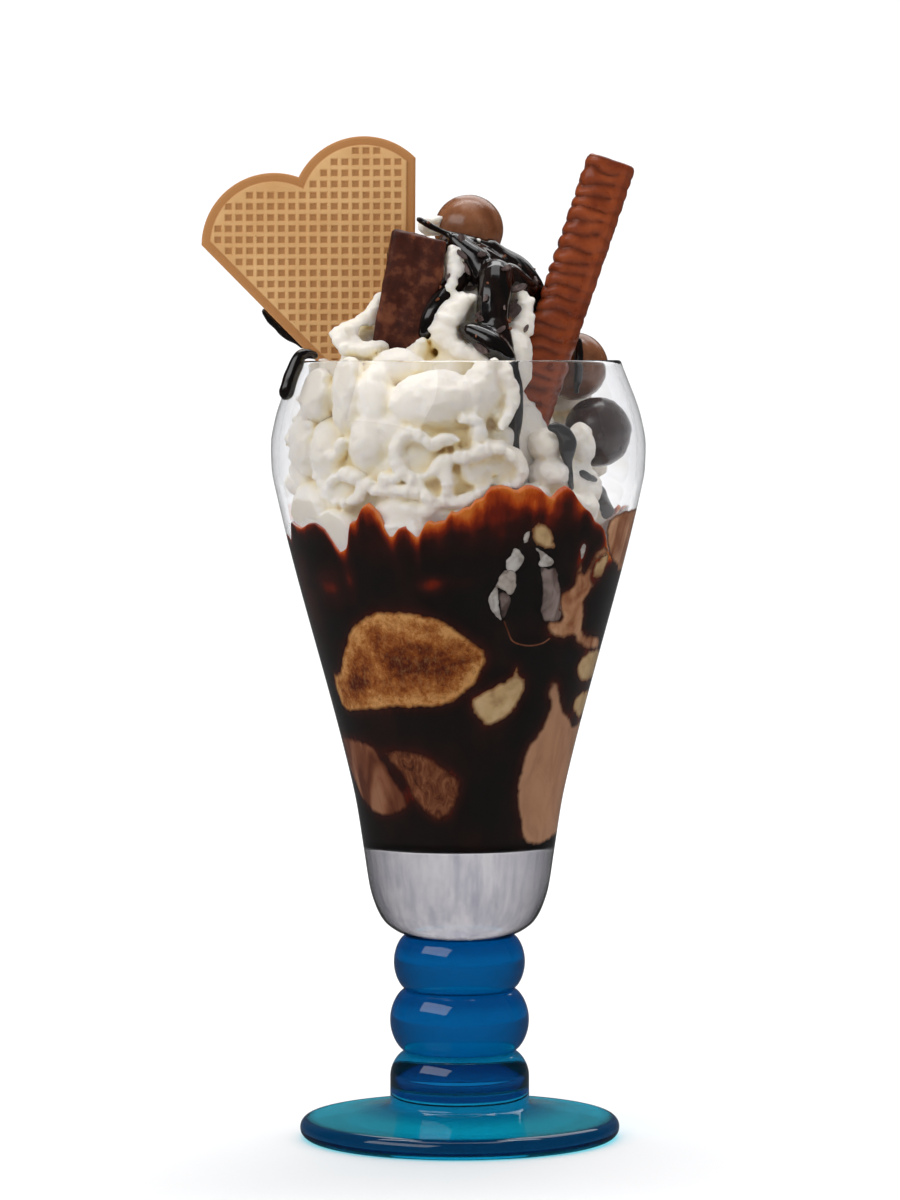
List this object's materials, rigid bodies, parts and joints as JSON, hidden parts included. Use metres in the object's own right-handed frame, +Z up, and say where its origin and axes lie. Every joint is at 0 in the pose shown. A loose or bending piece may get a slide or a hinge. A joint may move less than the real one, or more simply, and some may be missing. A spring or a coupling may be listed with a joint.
{
  "type": "ice cream sundae in a footed glass",
  "caption": "Ice cream sundae in a tall footed glass, with chocolate sauce, ice cream, whipped cream, a heart wafer, a chocolate bar, a ribbed stick and coated balls.",
  "frame": {"origin": "centre of the foot's flat underside", "axes": "+Z up along the glass's axis, -Y toward the front, with the heart wafer at -X and the ribbed stick at +X"},
  "size_m": [0.1132, 0.0954, 0.2558],
  "materials": {
    "clear_glass": "clear gloss",
    "blue_glass": "clear blue gloss",
    "chocolate_sauce": "wet gloss",
    "caramel_ice_cream": "frosty matte",
    "chocolate_ice_cream": "soft matte",
    "cream": "soft matte",
    "wafer": "dry matte",
    "dark_chocolate": "satin",
    "milk_chocolate": "satin"
  },
  "bodies": {
    "root": {"glass_bowl": "clear_glass", "stem_foot": "blue_glass", "sauce_fill": "chocolate_sauce", "poured_sauce": "chocolate_sauce", "right_drip": "chocolate_sauce", "rim_drip": "chocolate_sauce", "scoop_front": "caramel_ice_cream", "scoop_back": "caramel_ice_cream", "scoop_low": "chocolate_ice_cream", "scoop_right": "chocolate_ice_cream", "scoop_upper": "chocolate_ice_cream", "scoop_small": "cream", "window_cream": "cream", "whipped_cream": "cream", "cream_lumps": "cream", "heart_wafer": "wafer", "dark_bar": "dark_chocolate", "ball_lower": "dark_chocolate", "ribbed_stick": "milk_chocolate", "ball_top": "milk_chocolate", "ball_upper": "milk_chocolate"}
  },
  "joints": []
}
